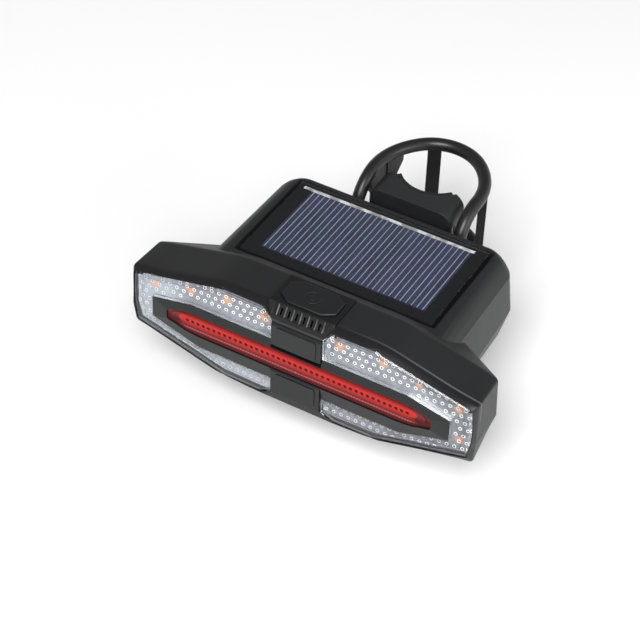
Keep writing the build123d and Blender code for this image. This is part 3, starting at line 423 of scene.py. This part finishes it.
    # painted shade along the top edge, under the upper centre band
    up = m.mix(m.step(z, 1.45, 1.85), up, (0.16, 0.010, 0.009))
    up = m.mix(m.math("MULTIPLY", halo, 0.30), up, (0.34, 0.012, 0.010))
    up = m.mix(dot, up, (0.070, 0.000, 0.000))
    tick = m.step(m.math("ABSOLUTE", m.math("SUBTRACT", m.math("MODULO", m.math("ADD", ax, 0.26), 1.0425), 0.52)), 0.14, 0.40)
    low = m.mix(m.step(m.math("ABSOLUTE", m.math("ADD", z, 3.35)), 0.42, 0.16), (0.15, 0.016, 0.017), m.mix(tick, (0.36, 0.135, 0.14), (0.20, 0.045, 0.05)))
    low = m.mix(m.step(z, -3.9, -4.25), low, (0.055, 0.005, 0.006))
    low = m.mix(m.step(m.math("ABSOLUTE", m.math("ADD", z, 2.2)), 0.35, 0.2), low, (0.13, 0.014, 0.014))
    tip = m.mix(m.step(z, -1.5, 1.2), (0.045, 0.006, 0.007), (0.130, 0.026, 0.028))
    low = m.mix(m.step(ax, 43.2, 45.5), low, tip)
    col = m.mix(bright, low, up)
    col = m.mix(m.math("MULTIPLY", fine, 0.14), col, (0.25, 0.01, 0.01))
    # a faint painted red glow: emission in the bright zone, outside the dots
    m.set(color=col, rough=m.math("MULTIPLY_ADD", fine, 0.1, 0.26), normal=m.bump(m.math("MULTIPLY", dot, -1.0), 0.25 * MM, 1.0, m.round_edges(0.15 * MM)),
          glow=m.mix(m.math("SUBTRACT", 1.0, dot, clamp=True), (0.0, 0.0, 0.0), m.mix(bright, (0.0, 0.0, 0.0), (0.95, 0.045, 0.04))), spec=0.08)
    m.bsdf.inputs["Emission Strength"].default_value = 0.09
    M["red_lens"] = m.mat
    return M


MATS = build_materials()

SLOT_OF = {s["node"]: s["material_slot"] for s in frame["record"]["subparts"]}


def dress(obj, mat):
    obj.data.materials.clear()
    obj.data.materials.append(mat)
    for p in obj.data.polygons:
        p.material_index = 0


for name, obj in NODES.items():
    mat = MATS[SLOT_OF[name]]
    if name in ("button_block",):
        mat = MATS["block_plastic"]
    if name == "solar_busbar":
        mat = MATS["busbar_ribbon"]
    dress(obj, mat)


# ------------------------------------------------------ smooth, welded shells
def fine(node, angle=32.0):
    """the CAD node's own shape with welded vertices, smooth within its curved faces, sharp at its edges"""
    src = NODES[node]
    me = bpy.data.meshes.new("fine_" + node)
    me.from_pydata([v.co[:] for v in src.data.vertices], [], [tuple(p.vertices) for p in src.data.polygons])
    bm = bmesh.new()
    bm.from_mesh(me)
    bmesh.ops.remove_doubles(bm, verts=bm.verts, dist=2e-6)
    bmesh.ops.dissolve_degenerate(bm, edges=bm.edges, dist=1e-7)
    bmesh.ops.recalc_face_normals(bm, faces=bm.faces)
    for f in bm.faces:
        f.smooth = True
    lim = math.radians(angle)
    for e in bm.edges:
        e.smooth = e.is_manifold and e.calc_face_angle(3.2) < lim
    bm.to_mesh(me)
    bm.free()
    obj = bpy.data.objects.new("fine_" + node, me)
    bpy.context.scene.collection.objects.link(obj)
    me.materials.append(src.data.materials[0])
    w = obj.modifiers.new("even", "WEIGHTED_NORMAL")
    w.keep_sharp = True
    w.weight = 60
    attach(obj, src["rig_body"])
    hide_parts(node)
    return obj


for n in ("upper_housing", "lower_housing", "mount_bracket", "saddle_pad", "strap", "strap_posts", "button_block",
          "power_button", "inner_frame", "red_lens", "centre_band_upper", "centre_band_lower", "usb_cover"):
    fine(n, 38.0 if n in ("strap", "saddle_pad") else 22.0 if n == "upper_housing" else 30.0)


# -------------------------------------------------------------- lens optics
LENS_TOP = [(28.4, 19.4), (45.2, 15.43), (54.2, 13.3), (61.6, 11.53), (62.7, 11.15), (63.45, 10.3)]
LENS_END = [(63.95, 4.0), (64.1, 0.0), (63.9, -3.5)]
LENS_LOW = [(63.0, -9.6), (62.3, -10.3), (57.7, -11.5), (51.7, -13.1), (44.0, -15.2), (37.6, -16.95), (29.8, -19.2), (28.6, -19.55), (14.0, -19.8)]
OUTER = [(9.5, 15.0), (13.4, 19.15)] + LENS_TOP + LENS_END + LENS_LOW + [(9.5, -17.25)]
ISLAND = [(9.5, -11.15), (38.0, -11.15), (56.3, -5.4), (56.2, 3.05), (41.0, 6.4), (9.5, 6.4)]


def offset(points, d, closed=True):
    """each segment moved by d to its left, corners mitred"""
    n = len(points)
    out = []
    for i in range(n):
        p = points[i]
        a = points[i - 1] if (closed or i) else None
        b = points[(i + 1) % n] if (closed or i < n - 1) else None
        dirs = []
        if a is not None:
            v = Vector((p[0] - a[0], p[1] - a[1])).normalized()
            dirs.append(Vector((-v.y, v.x)))
        if b is not None:
            v = Vector((b[0] - p[0], b[1] - p[1])).normalized()
            dirs.append(Vector((-v.y, v.x)))
        m = dirs[0] if len(dirs) == 1 else (dirs[0] + dirs[1])
        m = m.normalized()
        k = d / max(0.35, m.dot(dirs[0]))
        out.append((p[0] + m.x * k, p[1] + m.y * k))
    return out


def inside(points, x, z):
    hit = False
    n = len(points)
    for i in range(n):
        x0, z0 = points[i]
        x1, z1 = points[(i + 1) % n]
        if (z0 > z) != (z1 > z) and x < (x1 - x0) * (z - z0) / (z1 - z0) + x0:
            hit = not hit
    return hit


FACE_Y = 3.3


def optics(side):
    """the silvered face behind one clear lens, with its walls and its staggered ring domes"""
    s = 1.0 if side == "right" else -1.0
    verts, faces, mats = [], [], []

    def add(x, y, z):
        verts.append(P(s * x, y, z))
        return len(verts) - 1

    def quad(a, b, c, d, m):
        faces.append((a, b, c, d) if s > 0 else (d, c, b, a))
        mats.append(m)

    outer = offset(OUTER, -0.28)          # OUTER runs clockwise seen from the front, so -d is inwards
    isl = offset(ISLAND[1:5], 0.0, False)
    isle = [(9.6, -11.2)] + offset([(9.6, -11.2), (38.0, -11.2), (56.35, -5.43), (56.25, 3.09), (41.0, 6.45), (9.6, 6.45)], 0.0, False)[1:5] + [(9.6, 6.45)]
    ring = outer + isle                    # outer ends at the bottom inner corner; the island path leads back up
    ids = [add(x, FACE_Y, z) for x, z in ring]
    faces.append(tuple(reversed(ids)) if s > 0 else tuple(ids))
    mats.append(0)
    # walls forward from the face: beside the frame up to the lens's front, outside up to the bevel
    for path, y1 in ((isle, 0.66), (outer, 1.35)):
        lo = [add(x, FACE_Y, z) for x, z in path]
        hi = [add(x, y1, z) for x, z in path]
        for i in range(len(path) - 1):
            quad(lo[i], lo[i + 1], hi[i + 1], hi[i], 3)
    # rings
    pitch = 2.765
    rows = []
    for k in range(13):
        rows.append((13.85 - 2.82 * k, k))
    start = 12.1 if s > 0 else 11.55
    room_out = offset(OUTER, -0.95)
    room_in = offset([(0.0, -11.15), (38.0, -11.15), (56.3, -5.4), (56.2, 3.05), (41.0, 6.4), (0.0, 6.4)], -1.0)
    count = 0
    for z0, k in rows:
        x = start + (0.0 if k % 2 == 0 else -0.5 * pitch)
        while x < 64.0:
            z = z0 + 0.115 * max(0.0, x - 41.0)
            nz = z + SHIFT_Z
            nx = x + SHIFT_X * s
            if nx > 10.6 and inside(room_out, nx, nz) and not inside(room_in, nx, nz):
                r0 = 0.56
                steps, tube = 14, 6
                base = len(verts)
                for i in range(steps):
                    a = 2 * math.pi * i / steps
                    for j in range(tube):
                        b = 2 * math.pi * j / tube
                        r = r0 + 0.135 * math.cos(b)
                        add(nx + r * math.cos(a), FACE_Y - 0.08 - 0.13 * math.sin(b), nz + r * math.sin(a))
                for i in range(steps):
                    for j in range(tube):
                        i1, j1 = (i + 1) % steps, (j + 1) % tube
                        quad(base + i * tube + j, base + i * tube + j1, base + i1 * tube + j1, base + i1 * tube + j, 1)
                c0 = add(nx, FACE_Y - 0.10, nz)
                rim = [add(nx + 0.50 * math.cos(2 * math.pi * i / steps), FACE_Y - 0.05, nz + 0.50 * math.sin(2 * math.pi * i / steps)) for i in range(steps)]
                for i in range(steps):
                    t = (c0, rim[i], rim[(i + 1) % steps])
                    faces.append(t if s > 0 else tuple(reversed(t)))
                    mats.append(2)
                count += 1
            x += pitch
    me = bpy.data.meshes.new("lens_optics_" + side)
    me.from_pydata(verts, [], faces)
    for m in (MATS["reflector_silver"], MATS["optic_ring"], MATS["optic_well"], MATS["optic_wall"]):
        me.materials.append(m)
    for p, m in zip(me.polygons, mats):
        p.material_index = m
        p.use_smooth = m in (1, 2)
    me.validate()
    obj = bpy.data.objects.new("lens_optics_" + side, me)
    bpy.context.scene.collection.objects.link(obj)
    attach(obj, "light_body")
    print("optics", side, "rings", count)
    return obj


SHIFT_X, SHIFT_Z = 0.25, 1.15
optics("right")
optics("left")

VISUAL_BOX = [list(v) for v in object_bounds()]

# -------------------------------------------------------------------- studio
floor_z = VISUAL_BOX[0][2] - 0.0008 - 0.016        # room below for the open flap and the lowered strap
me = bpy.data.meshes.new("floor")
L = 6.0
me.from_pydata([(-L, -L, floor_z), (L, -L, floor_z), (L, L, floor_z), (-L, L, floor_z)], [], [(0, 1, 2, 3)])
floor = bpy.data.objects.new("floor", me)
bpy.context.scene.collection.objects.link(floor)
m = Net("studio_floor")
m.set(color=m.mix(m.noise(3.0), (0.90, 0.90, 0.90), (0.93, 0.93, 0.93)), rough=0.9, spec=0.0)
me.materials.append(m.mat)

world = bpy.data.worlds.new("studio")
bpy.context.scene.world = world
world.use_nodes = True
wt = world.node_tree
bg = wt.nodes["Background"]
tc = wt.nodes.new("ShaderNodeTexCoord")
sp = wt.nodes.new("ShaderNodeSeparateXYZ")
wt.links.new(tc.outputs["Generated"], sp.inputs[0])


def world_range(v, lo, hi, a, b):
    n = wt.nodes.new("ShaderNodeMapRange")
    n.interpolation_type = "SMOOTHSTEP"
    wt.links.new(v, n.inputs["Value"])
    for k, w in (("From Min", lo), ("From Max", hi), ("To Min", a), ("To Max", b)):
        n.inputs[k].default_value = w
    return n.outputs[0]


rise = world_range(sp.outputs[2], 0.05, 0.45, 0.75, 0.22)
side = world_range(sp.outputs[0], 0.1, 0.8, 0.0, 0.55)
tot = wt.nodes.new("ShaderNodeMath")
tot.operation = "ADD"
wt.links.new(rise, tot.inputs[0])
wt.links.new(side, tot.inputs[1])
wt.links.new(tot.outputs[0], bg.inputs[1])
bg.inputs[0].default_value = (1.0, 1.0, 1.0, 1.0)


def lamp(name, at, target, size, power, size_y=None):
    d = bpy.data.lights.new(name, "AREA")
    d.shape = "RECTANGLE"
    d.size = size
    d.size_y = size_y or size
    d.energy = power
    o = bpy.data.objects.new(name, d)
    o.location = at
    o.rotation_euler = (Vector(target) - Vector(at)).to_track_quat("-Z", "Y").to_euler()
    bpy.context.scene.collection.objects.link(o)
    return o


lamp("key_front", (0.28, -1.00, 1.05), (0.0, -0.06, 0.0), 0.75, 25.0)
lamp("side_right", (0.95, -0.05, 0.30), (0.0, -0.06, 0.0), 0.6, 3.0, 0.4)

# -------------------------------------------------------------------- camera
AZ, EL, ROLL = math.radians(28.94350), math.radians(42.30344), math.radians(1.98162)
back = Vector((math.sin(AZ) * math.cos(EL), -math.cos(AZ) * math.cos(EL), math.sin(EL)))
right = Vector((0, 0, 1)).cross(back).normalized()
up = back.cross(right)
r2 = math.cos(ROLL) * right + math.sin(ROLL) * up
u2 = -math.sin(ROLL) * right + math.cos(ROLL) * up
cam = bpy.data.cameras.new("camera")
cam.sensor_fit = "HORIZONTAL"
cam.sensor_width = 36.0
cam.lens = 113.089
cam.clip_start, cam.clip_end = 0.01, 50.0
co = bpy.data.objects.new("camera", cam)
bpy.context.scene.collection.objects.link(co)
place = Vector((0.2363236, -0.5086298, 0.4537048))
co.matrix_world = Matrix(((r2.x, u2.x, back.x, place.x), (r2.y, u2.y, back.y, place.y), (r2.z, u2.z, back.z, place.z), (0, 0, 0, 1)))
bpy.context.scene.camera = co
bpy.context.scene.view_settings.view_transform = "Standard"
